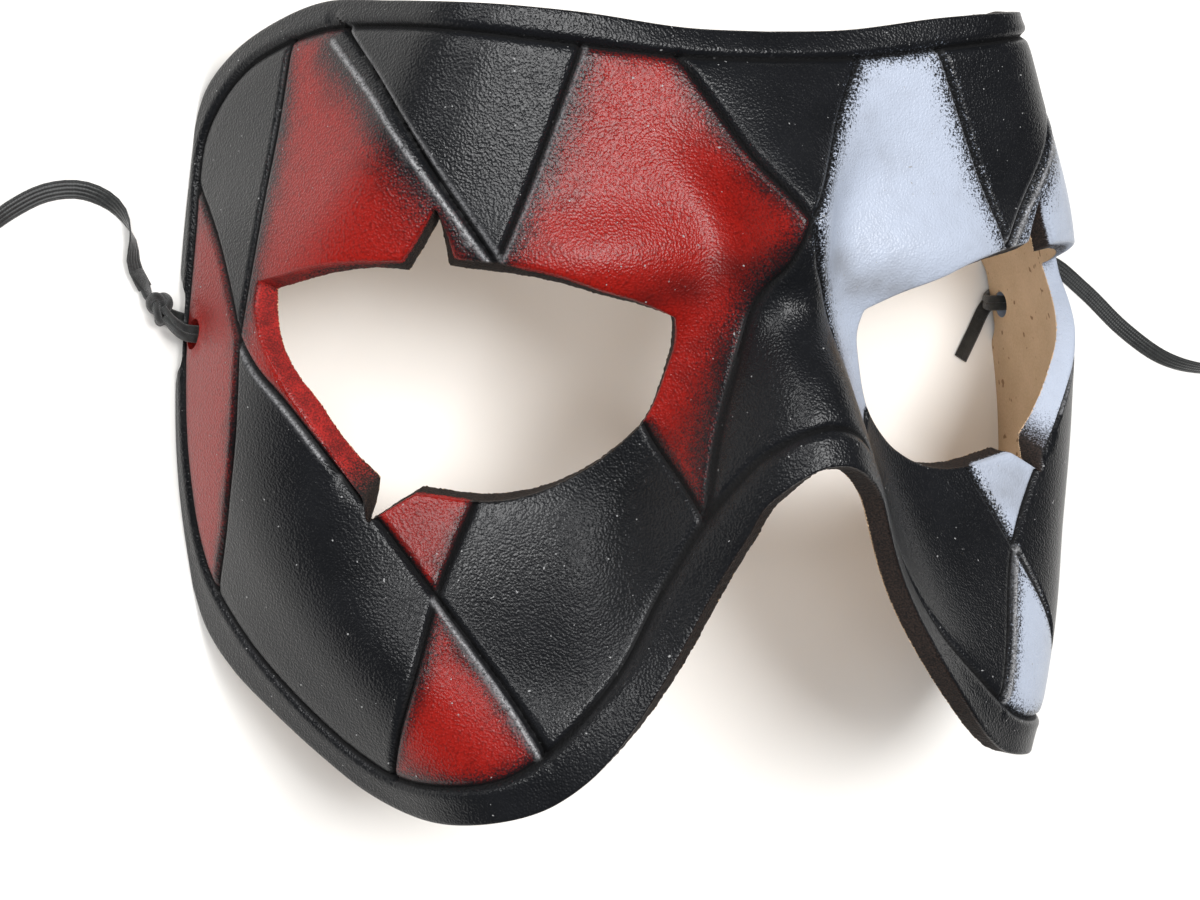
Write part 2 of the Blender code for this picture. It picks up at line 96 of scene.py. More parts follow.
def hermite(t, ts, ys):
    """Cubic through the knots (ts, ys) with central slopes, carried on straight past its ends."""
    ts = np.asarray(ts, float)
    ys = np.asarray(ys, float)
    slope = np.gradient(ys, ts)
    t = np.asarray(t, float)
    i = np.clip(np.searchsorted(ts, t) - 1, 0, len(ts) - 2)
    h = ts[i + 1] - ts[i]
    s = np.clip((t - ts[i]) / h, 0, 1)
    y = (2 * s**3 - 3 * s**2 + 1) * ys[i] + (3 * s**2 - 2 * s**3) * ys[i + 1]
    y = y + (s**3 - 2 * s**2 + s) * h * slope[i] + (s**3 - s**2) * h * slope[i + 1]
    y = np.where(t < ts[0], ys[0] + slope[0] * (t - ts[0]), y)
    return np.where(t > ts[-1], ys[-1] + slope[-1] * (t - ts[-1]), y)


def ease(t):
    """Smooth step: 3 t^2 - 2 t^3 between 0 and 1."""
    t = np.clip(t, 0, 1)
    return t * t * (3 - 2 * t)


def even(line, step):
    """Points a step apart along a polyline, its two ends kept."""
    run = np.concatenate([[0], np.cumsum(np.linalg.norm(np.diff(line, axis=0), axis=1))])
    at = np.linspace(0, run[-1], max(2, round(float(run[-1]) / step)) + 1)
    return np.stack([np.interp(at, run, line[:, k]) for k in range(line.shape[1])], 1)


def through(points, step):
    """Points a step apart on a cubic through the points, knots spaced by root chord length."""
    p = np.asarray(points, float)
    if len(p) == 2:
        return even(p, step)
    s = np.concatenate([[0], np.cumsum(np.sqrt(np.linalg.norm(np.diff(p, axis=0), axis=1)))])
    fine = np.linspace(0, s[-1], 40 * len(p))
    return even(np.stack([hermite(fine, s, p[:, k]) for k in range(p.shape[1])], 1), step)


def carried(path, across, out, wide, thick, sides=12, square=0.55):
    """A closed profile carried along a path, with its ends closed by their own rings.

    The profile is |cos|^square and |sin|^square on the two half sizes, which gives
    a flat band with round edges; across and out are the path's own unit vectors.
    """
    a = np.arange(sides) * 2 * math.pi / sides
    p = np.sign(np.cos(a)) * np.abs(np.cos(a))**square
    q = np.sign(np.sin(a)) * np.abs(np.sin(a))**square
    wide = np.broadcast_to(wide, len(path))[:, None, None] / 2
    thick = np.broadcast_to(thick, len(path))[:, None, None] / 2
    rings = (path[:, None] + wide * p[None, :, None] * across[:, None]
             + thick * q[None, :, None] * out[:, None])
    points = rings.reshape(-1, 3)
    i, j = np.meshgrid(np.arange(len(path) - 1), np.arange(sides), indexing="ij")
    k = (j + 1) % sides
    quads = np.stack([i * sides + j, i * sides + k, (i + 1) * sides + k, (i + 1) * sides + j], -1)
    faces = quads.reshape(-1, 4).tolist()
    faces.append(list(range(sides))[::-1])
    faces.append([(len(path) - 1) * sides + n for n in range(sides)])
    return points, faces


def turned(path, lean):
    """Across and out vectors of a path: lean made square to the tangent, and their cross."""
    d = np.gradient(path, axis=0)
    d = d / np.linalg.norm(d, axis=1)[:, None]
    across = lean - (lean * d).sum(1)[:, None] * d
    across = across / np.linalg.norm(across, axis=1)[:, None]
    return across, np.cross(d, across)


def piece(name, points, faces, material, corner=60):
    """A smooth-shaded object at the origin from points in millimetres."""
    mesh = bpy.data.meshes.new(name)
    mesh.from_pydata((np.asarray(points) * MM).tolist(), [], faces)
    mesh.update()
    made = bpy.data.objects.new(name, mesh)
    bpy.context.scene.collection.objects.link(made)
    mesh.materials.append(material)
    mesh.shade_smooth()
    mesh.set_sharp_from_angle(angle=math.radians(corner))
    return made


# Satin ribbon: polyester warp threads 0.25 mm apart, which give it a soft sheen
# along its length and thin pale lines; the weft shows as faint cross ribs.
satin = bpy.data.materials.new("woven_satin_ribbon")
satin.use_nodes = True
tree = satin.node_tree
shader = tree.nodes["Principled BSDF"]
weave = node(tree, "ShaderNodeUVMap", {"uv_map": "weave"})
split = node(tree, "ShaderNodeSeparateXYZ", i0=weave.outputs[0])
warp = node(tree, "ShaderNodeMath", {"operation": "SINE"}, i0=node(
    tree, "ShaderNodeMath", {"operation": "MULTIPLY"}, i0=split.outputs[0],
    i1=2 * math.pi / 0.00042).outputs[0])
weft = node(tree, "ShaderNodeMath", {"operation": "SINE"}, i0=node(
    tree, "ShaderNodeMath", {"operation": "MULTIPLY"}, i0=split.outputs[1],
    i1=2 * math.pi / 0.0005).outputs[0])
threads = node(tree, "ShaderNodeMath", {"operation": "MULTIPLY_ADD"}, i0=weft.outputs[0],
               i1=0.45, i2=warp.outputs[0])
fleck = node(tree, "ShaderNodeTexNoise", i0=node(
    tree, "ShaderNodeTexCoord").outputs["Object"], i2=900.0, i3=3.0)
shade = node(tree, "ShaderNodeMapRange", i0=threads.outputs[0], i1=-1.4, i2=1.4, i3=0.25, i4=0.8)
mixed = node(tree, "ShaderNodeMath", {"operation": "MULTIPLY"}, i0=shade.outputs[0],
             i1=fleck.outputs[0])
tone = node(tree, "ShaderNodeMix", {"data_type": "RGBA"}, i0=mixed.outputs[0],
            i6=linear("121315"), i7=linear("4B4D4B"))
tree.links.new(tone.outputs[2], shader.inputs["Base Color"])
ribbed = node(tree, "ShaderNodeBump", i0=0.5, i1=0.00006, i3=threads.outputs[0])
tree.links.new(ribbed.outputs[0], shader.inputs["Normal"])
shader.inputs["Roughness"].default_value = 0.46
shader.inputs["Sheen Weight"].default_value = 0.25
shader.inputs["Sheen Roughness"].default_value = 0.4


def ribbon(name, route, twist, centre, sense):
    """The band's centreline (route, then a spiral) and its angle from flat along it.

    The spiral's radius falls from COIL_OUTER by COIL_STEP for each turn, and its
    number of turns gives the ribbon its whole length.
    """
    way = through(route, 0.5)
    start = math.atan2(way[-1, 1] - centre[1], way[-1, 0] - centre[0])
    a = np.linspace(0, 8 * math.pi, 1600)
    r = np.hypot(way[-1, 0] - centre[0], way[-1, 1] - centre[1]) - COIL_STEP * a / (2 * math.pi)
    coil = np.stack([centre[0] + r * np.cos(start + sense * a),
                     centre[1] + r * np.sin(start + sense * a)], 1)
    flat = np.concatenate([way, coil[1:]])
    run = np.concatenate([[0], np.cumsum(np.linalg.norm(np.diff(flat, axis=0), axis=1))])
    flat = even(flat[run <= RIBBON_LONG], 1.6)
    run = np.concatenate([[0], np.cumsum(np.linalg.norm(np.diff(flat, axis=0), axis=1))])
    marks = np.array(twist, float)
    angle = np.radians(np.interp(run, marks[:, 0], marks[:, 1]))
    angle = np.convolve(np.pad(angle, 2, mode="edge"), np.ones(5) / 5, mode="valid")
    high = 0.28 + (RIBBON_WIDE / 2 - 0.2) * np.abs(np.sin(angle))
    path = np.column_stack([flat, high])
    d = np.gradient(flat, axis=0)
    d = d / np.linalg.norm(d, axis=1)[:, None]
    level = np.column_stack([-d[:, 1], d[:, 0], np.zeros(len(d))])
    up = np.array([[0.0, 0.0, 1.0]])
    across = level * np.cos(angle)[:, None] + up * np.sin(angle)[:, None]
    out = np.cross(np.column_stack([d, np.zeros(len(d))]), across)
    points, faces = carried(path, across, out, RIBBON_WIDE, RIBBON_THICK, 12, 0.45)
    band = piece(name, points, faces, satin)
    uv = band.data.uv_layers.new(name="weave")
    corner = np.empty(len(band.data.loops), dtype=np.int32)
    band.data.loops.foreach_get("vertex_index", corner)
    side = np.cos(np.arange(12) * math.pi / 6)[corner % 12] * RIBBON_WIDE / 2
    uv.data.foreach_set("uv", (np.column_stack([side, run[corner // 12]]) * MM).ravel())
    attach(band, "root")
    return band, path


def coil_band(name, centre, at):
    """A short strip of the same ribbon wrapped once round the coil's turns."""
    a = np.linspace(0, 2 * math.pi, 40)
    wide, high = 4.2, 1.85
    p = np.sign(np.cos(a)) * np.abs(np.cos(a))**0.35 * wide
    q = np.sign(np.sin(a)) * np.abs(np.sin(a))**0.35 * high
    ray = np.array([math.cos(at), math.sin(at), 0.0])
    middle = np.array([*centre, 1.9]) + ray * (COIL_OUTER - 3.2)
    path = middle + p[:, None] * ray + q[:, None] * np.array([0.0, 0.0, 1.0])
    path[:, 2] = np.maximum(path[:, 2], 0.25)
    across = np.tile([-math.sin(at), math.cos(at), 0.0], (len(path), 1))
    across, out = turned(path, across)
    points, faces = carried(path, across, out, RIBBON_WIDE, 0.4)
    band = piece(name, points, faces, satin)
    band.data.uv_layers.new(name="weave")
    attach(band, "root")
    return band


starts = {}
for side, route, twist, centre, sense in (
        ("left", LEFT_ROUTE, LEFT_TWIST, (-128.8, 39.5), -1),
        ("right", RIGHT_ROUTE, RIGHT_TWIST, (147.0, 20.5), 1)):
    tie, tie_path = ribbon("ribbon_" + side, route, twist, centre, sense)
    starts[side] = tie_path[:4]
    band = coil_band("coil_band_" + side, centre, math.radians(90))
    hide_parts("tie_" + side, "coil_" + side)


# Knots: at each temple the ribbon goes through the punched hole, round the leather's
# edge and into a tight overhand knot outside it. Bunched up, the ribbon is a soft
# strand 1.5 mm wide there, and its short cut end lies flat inside the mask.
HOLE_LOOP = [(81.2, 17.0, 4.2), (80.1, 15.2, 5.2), (78.7, 13.9, 5.9), (76.0, 13.4, 5.7),
             (73.9, 13.4, 5.1), (72.9, 13.5, 3.9), (73.2, 14.0, 2.2), (74.7, 14.7, 1.35),
             (77.2, 15.6, 1.2), (79.7, 16.6, 1.3), (81.2, 17.6, 2.0)]
SHORT_END = [(81.3, 17.4, 1.5), (79.2, 16.3, 0.8), (76.6, 15.0, 0.6), (74.0, 12.6, 0.55),
             (71.4, 8.4, 0.5), (68.4, 3.6, 0.45)]
for side, sign in (("left", -1), ("right", 1)):
    parts = []
    for shift in (-0.62, 0.72):
        line = through(HOLE_LOOP, 0.35) + np.array([0.0, shift, 0.0])
        across, out = turned(line, np.tile([0.25, 1.0, 0.2], (len(line), 1)))
        parts.append(carried(line, across, out, 1.45, 0.85, 12, 0.8))
    line = through(SHORT_END, 0.5)
    across, out = turned(line, np.tile([0.9, -0.4, 0.0], (len(line), 1)))
    parts.append(carried(line, across, out, 2.8, 0.45, 12, 0.5))
    t = np.linspace(0, 2 * math.pi, 140)
    knot = np.stack([np.sin(t) + 2 * np.sin(2 * t), np.cos(t) - 2 * np.cos(2 * t),
                     -np.sin(3 * t)], 1) * np.array([0.52, 0.78, 0.95])
    knot = knot + np.array([81.5, 18.2, 2.75])
    across, out = turned(knot, np.tile([0.2, 0.3, 1.0], (len(knot), 1)))
    parts.append(carried(knot, across, out, 1.7, 1.25, 12, 0.8))
    lead = starts[side][::-1] * np.array([sign, 1, 1])
    line = through([tuple(p) for p in lead[1:]] + [(83.0, 19.9, 1.5), (82.3, 18.6, 2.3),
                                                   (81.7, 17.4, 2.7)], 0.3)
    share = np.linspace(0, 1, len(line))
    across, out = turned(line, np.tile([0.85, 0.5, 0.3], (len(line), 1)))
    parts.append(carried(line, across, out, 2.95 - 1.3 * ease(share * 1.3), 0.42 + 0.7 * share,
                         12, 0.6))
    points, faces, base = [], [], 0
    for p, f in parts:
        points.append(p * np.array([sign, 1, 1]))
        faces += [[base + k for k in (q[::-1] if sign < 0 else q)] for q in f]
        base += len(p)
    tied = piece("knot_strands_" + side, np.concatenate(points), faces, satin)
    tied.data.uv_layers.new(name="weave")
    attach(tied, "root")
    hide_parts("knot_" + side)


# Leather shell: one piece of vegetable-tanned leather, wetted and moulded over a face
# form, cut and tooled with lozenges, dyed black and painted. (u, v) are millimetres
# on the flat piece: from the middle line, and up.
THICK = 3.4
Y_SHIFT = 1.1
BEND_V = [-55, -5, 45]
FRONT_TURN = [7.0, 18.5, 10.5]
TEMPLE_START = [40.5, 58.5, 41.5]
TEMPLE_SPAN = [23.0, 34.5, 22.5]
TEMPLE_TURN = [53.0, 46.0, 52.5]
LEVEL_V = [-63, -45, -27, -9, 9, 27, 47]
LEVEL = [46.5, 48.5, 47.5, 50.5, 54.5, 58.5, 60.0]
NOSE_V = [-35, -17, -1, 11, 23, 39]
NOSE_HIGH = [25.4, 25.3, 18.4, 9.0, 11.7, 4.5]
NOSE_HALF = [21.9, 16.4, 11.0, 8.4, 7.0, 14.0]
HILLS = [(-4.7, 37.0, -11.0, 18.5, 13.5), (5.0, 39.0, -51.5, 16.5, 16.5),
         (4.5, 29.5, 17.5, 21.5, 8.5)]


def form(u, v, raised=0.0):
    """The moulded face: a flat piece bent by headings, with relief along its normal.

    The heading at u is FRONT_TURN for each 50 mm plus TEMPLE_TURN eased in over
    TEMPLE_SPAN. X and Z are the sums of its cosine and sine along u. The nose is
    high * exp(-|u / half|^2.5), and each hill high * exp(-du^2 - dv^2).
    """
    front, start, span, turn = (hermite(v, BEND_V, row) for row in
                                (FRONT_TURN, TEMPLE_START, TEMPLE_SPAN, TEMPLE_TURN))
    share = (np.arange(120) + 0.5) / 120
    s = u[:, None] * share
    angle = np.radians(front[:, None] * np.clip(s / 50, 0, 2)
                       + turn[:, None] * ease((s - start[:, None]) / span[:, None]))
    x = np.cos(angle).mean(1) * u
    z = -np.sin(angle).mean(1) * u
    rise = raised + (hermite(v, NOSE_V, NOSE_HIGH)
                     * np.exp(-np.abs(u / hermite(v, NOSE_V, NOSE_HALF))**2.5))
    for high, at_u, at_v, wide_u, wide_v in HILLS:
        rise = rise + high * np.exp(-((u - at_u) / wide_u)**2 - ((v - at_v) / wide_v)**2)
    angle = np.radians(front * np.clip(u / 50, 0, 2) + turn * ease((u - start) / span))
    return np.stack([x + rise * np.sin(angle), v + Y_SHIFT,
                     hermite(v, LEVEL_V, LEVEL) + z + rise * np.cos(angle)], 1)


def outward(u, v):
    """Unit normal of the form: the cross of its two central differences."""
    e = 0.2
    n = np.cross(form(u + e, v) - form(u - e, v), form(u, v + e) - form(u, v - e))
    return n / np.linalg.norm(n, axis=1)[:, None]


# The flat piece's cut edges and tooled lines, as the pattern is drawn on the leather
EDGE_TOP = [(0, 52.9), (14, 53.3), (30, 55.2), (46, 56.8), (62, 59.3), (77, 61.4), (89, 60.0),
            (100, 56.6), (107.5, 51.6), (110.4, 46.0), (111.1, 42.0)]
EDGE_LOW = [(104.6, -28.0), (102.0, -34.5), (96.2, -41.0), (87.5, -47.4), (77.5, -54.2),
            (68, -59.8), (58.5, -63.0), (49, -63.7), (41, -62.1), (34.1, -57.7), (27.4, -50.0),
            (19.6, -38.4), (13.9, -28.3), (10.6, -21.9), (8.9, -18.3), (6.4, -15.7),
            (3.7, -13.8), (1.6, -13.0), (0, -12.9)]
# The tie hole's middle and radius, and the arch in the temple edge for the ribbon
HOLE = (104.7, 12.4)
HOLE_RADIUS = 2.7
ARCH_AT = 13.6
ARCH_HIGH = 2.4
# The eye-hole is cut on a slant: its edge in the front face, and 3.4 mm below in the back
EYE_FRONT = [[(84.9, 19.4), (79, 19.9), (74.2, 20.4), (66.8, 20.8), (57.7, 20.5)],
             [(57.7, 20.5), (53.0, 27.9)],
             [(53.0, 27.9), (50.9, 23.5), (49.8, 20.5)],
             [(49.8, 20.5), (44.9, 19.6), (40.6, 18.8), (34.9, 17.2), (28.8, 14.8),
              (22.4, 12.8), (16.2, 10.3)],
             [(16.2, 10.3), (15.7, 7), (16.6, 3.2), (19.7, -4.7), (26, -10.5), (30.5, -13),
              (34.4, -14.6), (39.1, -15.7), (43.1, -15.9), (47, -15.5), (54.8, -14)],
             [(54.8, -14), (62.1, -17.9)],
             [(62.1, -17.9), (62.7, -14.2)],
             [(62.7, -14.2), (69.2, -5.2), (76.1, 4.3), (81.9, 11.7), (84.6, 16.2), (84.9, 19.4)]]
EYE_BACK = [[(84, 18.8), (78.1, 19.2), (73.2, 19.4), (68.8, 19.4), (61.4, 19), (56.5, 18.1)],
            [(56.5, 18.1), (51.9, 26.1)],
            [(51.9, 26.1), (51.2, 20.5), (50.9, 18.6)],
            [(50.9, 18.6), (44.6, 17.3), (39.7, 16.1), (34.1, 14.3), (27.5, 12.2), (20.8, 10.7),
             (15.7, 9.4)],
            [(15.7, 9.4), (15.7, 6.5), (17.2, 1.5), (20.2, -5.2), (26.1, -10.6), (30.4, -12.8),
             (34, -13.9), (38.5, -14.5), (42.2, -14.6), (46.1, -14.2), (52.6, -13.1)],
            [(52.6, -13.1), (56.5, -15), (61.5, -17.7)],
            [(61.5, -17.7), (60.3, -15.4), (59.4, -11.3)],
            [(59.4, -11.3), (63.1, -8.2), (66.7, -4.4), (70.5, 0.3), (74.7, 4.4), (79.1, 9.6),
             (81.7, 13.8), (84, 18.8)]]
BORDER = [(0, 48.4), (14, 48.8), (30, 50.5), (46, 52.6), (62, 55.3), (76, 56.9), (87, 56.0),
          (96.5, 53.5), (103.5, 49.0), (107.8, 43.6), (109.2, 36.8), (109.4, 28), (109.0, 19),
          (107.9, 9.5), (105.7, 0), (103.5, -9), (101.4, -18), (98.9, -25), (95.3, -30.4),
          (88.6, -38.4), (79.5, -46.5), (70.2, -53), (62.2, -56.7), (53.5, -57.8), (45.5, -57),
          (39.3, -53.4), (32.4, -47.1), (26.4, -40.4), (19.6, -29.3), (14.5, -20.2),
          (11.3, -15.2), (8.1, -11.1), (4.4, -8.4), (1.9, -7.5), (0, -7.2)]
TEMPLE = (87.7, 11.0)
CHEEK = (51.9, -29.4)
BRIDGE = (0, 23.3)
WING = (14.4, -20.1)
TOOLED = {
    "temple_up": [(84.9, 56.4), (86.3, 44.9), (88.2, 30), TEMPLE],
    "temple_down": [TEMPLE, (86.3, 1.8), (86.6, -6), (90, -16.8), (96.6, -28.6)],
    "temple_back": [(109.2, 36.4), (104.9, 31.5), (97.4, 22.8), TEMPLE],
    "brow_outer": [(72.3, 56.4), (60.6, 44), (52.4, 32), (43.9, 19.4)],
    "under_eye": [TEMPLE, (81.8, 6), (76.5, 1.7), (72.4, -2.6), (66.1, -10.4), (60.1, -17.9),
                  CHEEK],
    "cheek_inner": [CHEEK, (47.9, -36), (43.3, -44.2), (39.0, -53.0)],
    "lid_down": [(45.3, -15.7), (49.0, -23.3), CHEEK],
    "cheek_outer": [CHEEK, (56.6, -41.3), (62.1, -56.7)],
    "brow_inner": [(30.6, 50.5), (37.5, 34), (43.9, 19.4)],
    "bridge_up": [(15.4, 48.9), (10.6, 41), (5.9, 32.4), BRIDGE],
    "nose_side": [BRIDGE, (1.2, 19.8), (2.6, 16.4), (3.9, 14.9), (5.7, 11.8), (7.2, 7.2),
                  (8.4, 3.5), (10.2, -2.4), (12.2, -9.7), (13.2, -14.1), WING],
    "inner_eye": [(19.4, -5.5), (16.5, -12.8), WING],
}
# Slopes pressed beside two of the lines: their width at each end of the line, and depth
BEVELS = [("brow_outer", (2.7, 1.0), 0.5), ("cheek_inner", (0.9, 1.4), 0.35)]
border = through(BORDER, 0.5)
tooled = {name: through(line, 0.5) for name, line in TOOLED.items()}


def temple_edge(v):
    """Where the form meets the table, raised 2.4 mm in an arch where the ribbon passes."""
    u = np.tile(np.linspace(90, 125, 141), (len(v), 1))
    z = form(u.ravel(), np.repeat(v, 141))[:, 2].reshape(u.shape)
    low = np.argmax(z < 0, axis=1)
    k = np.arange(len(v))
    z0, z1 = z[k, low - 1], z[k, low]
    rest = u[k, low - 1] + (u[k, low] - u[k, low - 1]) * z0 / (z0 - z1)
    return rest - ARCH_HIGH * (1 - ease((np.abs(v - ARCH_AT) - 4.6) / 4.4))


def rounded(loop, closed):
    """A cut edge with its corners eased: each point a quarter of the way to its neighbours."""
    before = np.roll(loop, 1, axis=0)
    after = np.roll(loop, -1, axis=0)
    eased = 0.25 * before + 0.5 * loop + 0.25 * after
    if not closed:
        eased[[0, -1]] = loop[[0, -1]]
    return eased


def facing(loop, closed):
    """Unit vectors in the flat piece that point out of the leather, right of the loop's way."""
    if closed:
        d = np.roll(loop, -1, axis=0) - np.roll(loop, 1, axis=0)
    else:
        d = np.gradient(loop, axis=0)
        d[[0, -1]] = [[1, 0], [-1, 0]]
    d = d / np.linalg.norm(d, axis=1)[:, None]
    return np.stack([-d[:, 1], d[:, 0]], 1)


rest_v = np.linspace(42, -28, 141)
temple = np.column_stack([temple_edge(rest_v), rest_v])
low_points = [tuple(temple[-1])] + EDGE_LOW[1:]
top_points = EDGE_TOP[:-1] + [tuple(temple[0])]
outline = np.concatenate([through(top_points, 0.5)[:-1], temple[:-1], through(low_points, 0.5)])
outline = rounded(outline, False)
front, back = [], []
for near, far in zip(EYE_FRONT, EYE_BACK):
    near = through(near, 0.5)
    fine = through(far, 0.05)
    pick = np.linspace(0, len(fine) - 1, len(near)).round().astype(int)
    front.append(near[:-1])
    back.append(fine[pick][:-1])
front = rounded(np.concatenate(front), True)
back = rounded(np.concatenate(back), True)
turn = np.linspace(0, 2 * math.pi, 37)[:-1]
hole = np.array(HOLE) + HOLE_RADIUS * np.stack([np.cos(-turn), np.sin(-turn)], 1)
# Each cut edge: its line in the front face, the same in the back, and whether it closes
edges = [(outline, outline, False), (front, back, True), (hole, hole, True)]


def away(p, line, closed=False):
    """Distance of each point p from a polyline, the least over its pieces."""
    best = np.full(len(p), 1e9)
    ends = np.roll(line, -1, axis=0) if closed else line[1:]
    for a, b in zip(line if closed else line[:-1], ends):
        d = b - a
        t = np.clip(((p - a) @ d) / max(d @ d, 1e-12), 0, 1)
        best = np.minimum(best, np.hypot(*(p - a - t[:, None] * d).T))
    return best


def set_over(line, gap):
    """A copy of a line, moved to its left by gap."""
    d = np.gradient(line, axis=0)
    d = d / np.linalg.norm(d, axis=1)[:, None]
    return line + gap * np.stack([-d[:, 1], d[:, 0]], 1)


def ridge(name, wide, share=1.0):
    """The ridge of a bevel: the tooled line set over by a width that eases from end to end."""
    line = tooled[name]
    d = np.gradient(line, axis=0)
    d = d / np.linalg.norm(d, axis=1)[:, None]
    gap = np.linspace(wide[0], wide[1], len(line))[:, None] * share
    return line + gap * np.stack([-d[:, 1], d[:, 0]], 1)


def left_of(p, line):
    """Signed distance s to a line, plus to its left: (d0^2 - d1^2 + 1) / 2, d1 from a copy."""
    return (away(p, line)**2 - away(p, set_over(line, 1.0))**2 + 1) / 2


def within(p, loop):
    """Whether each point is inside a closed loop: an odd number of crossings to its right."""
    x, y = p[:, 0], p[:, 1]
    odd = np.zeros(len(p), bool)
    for a, b in zip(loop, np.roll(loop, -1, axis=0)):
        if a[1] != b[1]:
            odd ^= (((y < a[1]) != (y < b[1]))
                    & (x < a[0] + (y - a[1]) * (b[0] - a[0]) / (b[1] - a[1])))
    return odd


def thinned(p, cell):
    """One point for each square cell."""
    _, first = np.unique(np.floor(p / cell).astype(int), axis=0, return_index=True)
    return p[np.sort(first)]


INSET = 0.3
coarse_lines = [even(line, 1.0) for line in [border, *tooled.values()]]


def near_lines(p):
    """Distance of each point from the border line or the nearest tooled line."""
    return np.min([away(p, line) for line in coarse_lines], axis=0)


def clear_runs(line, loops):
    """The stretches of a line that stay in the leather, clear of the cut edges."""
    keep = np.min([away(line, e, c) for e, c in loops], axis=0) > 0.25
    for e, c in loops[1:]:
        keep &= ~within(line, e)
    runs, now = [], []
    for ok, point in zip(keep, line):
        if ok:
            now.append(point)
        if now and (not ok or point is line[-1]):
            runs.append(np.array(now))
            now = []
    if now:
        runs.append(np.array(now))
    return [run for run in runs if len(run) > 2]


def sheet(which, spacing, lines):
    """Triangles over half the flat piece: edge loops, rows beside lines and edges, and a grid."""
    rims = [(e[which], facing(e[which], e[2]), e[2]) for e in edges]
    loops = [e - INSET * m for e, m, _ in rims]
    heights = np.concatenate([[loops[0][-1, 1]], sorted(line[k, 1] for line, k in lines["ends"]),
                              [loops[0][0, 1]]])
    middle = np.concatenate([np.linspace(a, b, max(2, round((b - a) / 1.1)) + 1)[1:]
                             for a, b in zip(heights[:-1], heights[1:])])[:-1]
    fixed = [np.concatenate([loops[0], np.column_stack([np.zeros(len(middle)), middle])]),
             loops[1], loops[2]]
    links, base = [], 0
    for loop in fixed:
        k = np.arange(len(loop))
        links.append(np.column_stack([base + k, base + (k + 1) % len(loop)]))
        base += len(loop)
    free = []
    cut_lines = [(loop, closed) for loop, (_, _, closed) in zip(loops, rims)]
    pieces = [lines["rows"][0]] if lines["rows"] else []
    for line in lines["rows"][1:]:
        pieces += clear_runs(line, cut_lines)
    for line in pieces:
        k = np.arange(len(line) - 1)
        fixed.append(line)
        links.append(np.column_stack([base + k, base + k + 1]))
        base += len(line)
        d = np.gradient(line, axis=0)
        d = d / np.linalg.norm(d, axis=1)[:, None]
        side = np.stack([-d[:, 1], d[:, 0]], 1)
        for k in (0.36, 0.72, 1.1, 1.5):
            for sign in (-1, 1):
                row = line + sign * k * side
                free.append(row[near_lines(row) > k - 0.06])
    for name, wide, _ in BEVELS if lines["rows"] else []:
        for k in (0.75, 1.0, 1.3):
            row = ridge(name, wide, k)
            free.append(row[(near_lines(row) > 1.2)
                            & (np.min([away(row, e, c) for e, m, c in rims], axis=0) > 0.7)])
    for e, m, closed in rims:
        for k in (0.8, 1.4):
            row = e - k * m
            keep = away(row, e, closed) > k - 0.08
            if lines["rows"]:
                keep &= near_lines(row) > 0.3
            free.append(row[keep])
    grid_v = np.arange(-64, 62, spacing * 0.866)
    grid_u = np.arange(spacing, 113, spacing)
    gu, gv = np.meshgrid(grid_u, grid_v)
    gu = gu - (np.arange(len(grid_v)) % 2)[:, None] * spacing / 2
    grid = np.stack([gu.ravel(), gv.ravel()], 1)
    keep = np.min([away(grid, e[::2], c) for e, m, c in rims], axis=0) > 1.4 + spacing * 0.5
    if lines["rows"]:
        keep &= near_lines(grid) > 1.5 + spacing * 0.55
    free.append(grid[keep])
    free = thinned(np.concatenate(free), 0.3)
    free = free[(free[:, 0] > 0.35)]
    points = np.concatenate(fixed + [free])
    verts, _, faces, origin, _, _ = delaunay_2d_cdt(
        [Vector(p) for p in points.tolist()], np.concatenate(links).tolist(), [], 0, 1e-6)
    flat = np.array([tuple(p) for p in verts])
    faces = np.array(faces)
    a, b, c = flat[faces[:, 0]], flat[faces[:, 1]], flat[faces[:, 2]]
    area = (b[:, 0] - a[:, 0]) * (c[:, 1] - a[:, 1]) - (c[:, 0] - a[:, 0]) * (b[:, 1] - a[:, 1])
    centre = (a + b + c) / 3
    ok = (np.abs(area) > 1e-9) & within(centre, fixed[0])
    ok &= ~within(centre, fixed[1]) & ~within(centre, fixed[2])
    faces, area = faces[ok], area[ok]
    faces[area < 0] = faces[area < 0][:, ::-1]
    used = np.unique(faces)
    renumber = np.full(len(flat), -1)
    renumber[used] = np.arange(len(used))
    place = np.full(len(points), -1)
    for k, sources in enumerate(origin):
        for s in sources:
            place[s] = renumber[k]
    ring_points, base = [], 0
    for e, m, closed in rims:
        ring_points.append(place[base:base + len(e)])
        base += len(e) + (len(middle) if base == 0 else 0)
    return flat[used], renumber[faces], ring_points


outer_flat, outer_faces, outer_rims = sheet(0, 1.15, {
    "rows": [border, *tooled.values()],
    "ends": [(border, 0), (border, -1), (tooled["bridge_up"], -1)]})
inner_flat, inner_faces, inner_rims = sheet(1, 2.6, {"rows": [], "ends": []})


